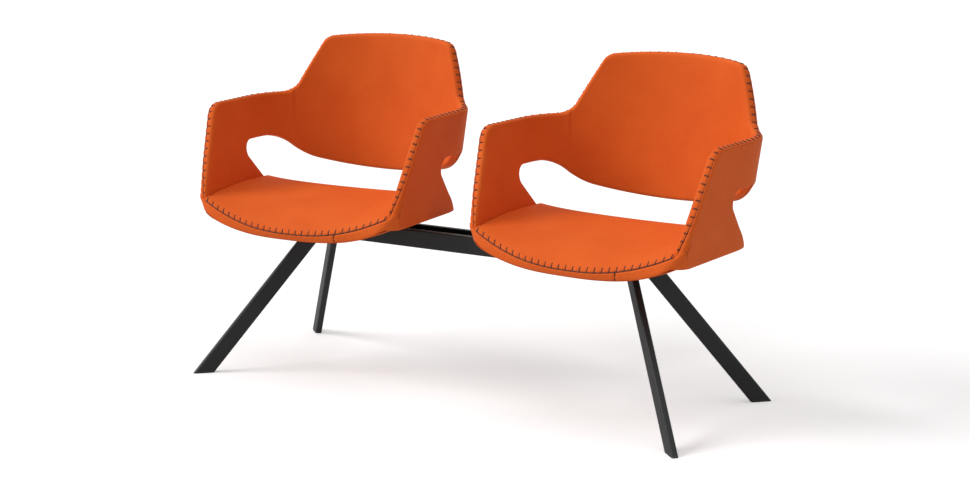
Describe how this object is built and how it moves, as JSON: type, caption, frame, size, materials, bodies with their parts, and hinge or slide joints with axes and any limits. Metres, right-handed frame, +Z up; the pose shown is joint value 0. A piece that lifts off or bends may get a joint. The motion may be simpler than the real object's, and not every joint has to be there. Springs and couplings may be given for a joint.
{
  "type": "beam seating",
  "caption": "Beam bench with upholstered tub seats, wrap-round arms, blanket-stitched edges, an open back gap and splayed flat-tube legs.",
  "frame": {"origin": "on the floor, below the middle of the bench box", "axes": "+X along the beam towards the right seat as seen from the front, +Y from the seat fronts towards the backs, +Z up"},
  "size_m": [1.4298, 0.572, 0.8244],
  "materials": {
    "upholstery": "orange felted wool cover on moulded foam",
    "underside": "orange lining cloth stretched below the seat",
    "thread": "dark brown blanket stitch thread",
    "plywood": "moulded beech plywood",
    "zinc_steel": "zinc plated steel",
    "frame_paint": "anthracite powder coat, fine texture",
    "glide_plastic": "black nylon"
  },
  "bodies": {
    "root": {"beam": "frame_paint", "beam_bolts": "zinc_steel", "core_screws_left": "zinc_steel", "core_screws_right": "zinc_steel", "edge_stitching_left": "thread", "edge_stitching_right": "thread", "front_facing_left": "upholstery", "front_facing_right": "upholstery", "glide_front_left": "glide_plastic", "glide_front_right": "glide_plastic", "glide_rear_left": "glide_plastic", "glide_rear_right": "glide_plastic", "head_bolts": "zinc_steel", "head_studs": "zinc_steel", "inner_pad_left": "upholstery", "inner_pad_right": "upholstery", "leg_front_left": "frame_paint", "leg_front_right": "frame_paint", "leg_head_left": "frame_paint", "leg_head_right": "frame_paint", "leg_rear_left": "frame_paint", "leg_rear_right": "frame_paint", "mount_plate_left": "frame_paint", "mount_plate_right": "frame_paint", "outer_pad_left": "upholstery", "outer_pad_right": "upholstery", "seat_board_left": "plywood", "seat_board_right": "plywood", "seat_bolts_left": "zinc_steel", "seat_bolts_right": "zinc_steel", "seat_cushion_left": "upholstery", "seat_cushion_right": "upholstery", "shell_core_left": "plywood", "shell_core_right": "plywood", "spacer_inner_left": "frame_paint", "spacer_inner_right": "frame_paint", "spacer_outer_left": "frame_paint", "spacer_outer_right": "frame_paint", "tee_nuts_left": "zinc_steel", "tee_nuts_right": "zinc_steel", "underside_cover_left": "underside", "underside_cover_right": "underside"}
  },
  "joints": []
}
